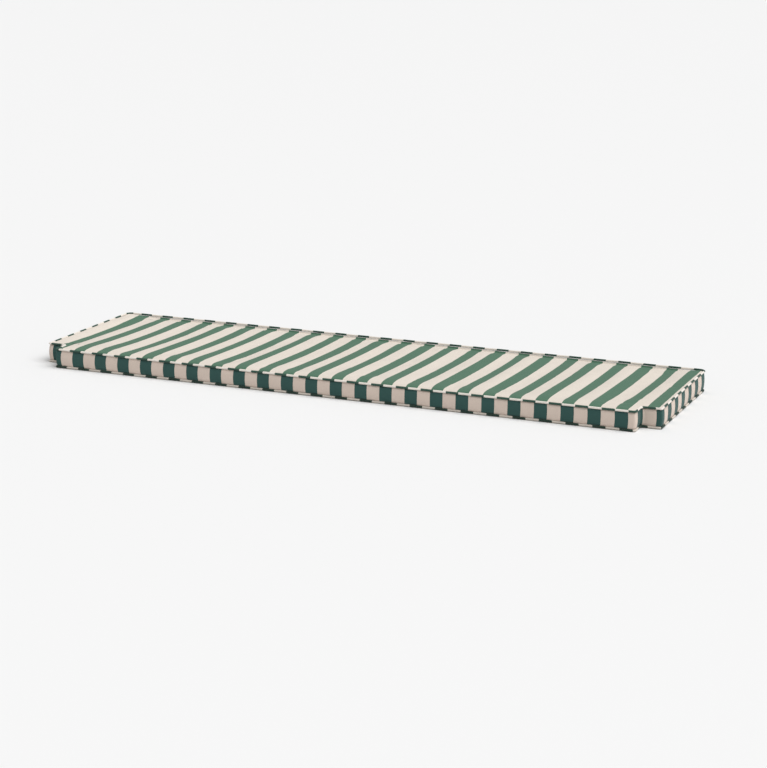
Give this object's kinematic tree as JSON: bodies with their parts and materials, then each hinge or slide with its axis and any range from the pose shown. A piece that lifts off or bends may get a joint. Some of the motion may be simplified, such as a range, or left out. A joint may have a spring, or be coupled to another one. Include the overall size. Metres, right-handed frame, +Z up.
{
  "type": "bench cushion",
  "caption": "Long flat boxed seat cushion in green and cream striped canvas, with piped edges and a notch in both front corners.",
  "frame": {"origin": "centre of the flat underside", "axes": "+X along the cushion's length, +Y towards its back edge, away from the notches, +Z up"},
  "size_m": [1.5084, 0.4415, 0.0506],
  "materials": {
    "striped_canvas": "matte woven canvas in equal green and cream stripes that run front to back",
    "piping_canvas": "the same matte striped canvas, wrapped round a thin cord in equal green and cream lengths"
  },
  "bodies": {
    "root": {"cushion_body": "striped_canvas", "boxing_strip": "striped_canvas", "piping_top": "piping_canvas", "piping_bottom": "piping_canvas"}
  },
  "joints": []
}
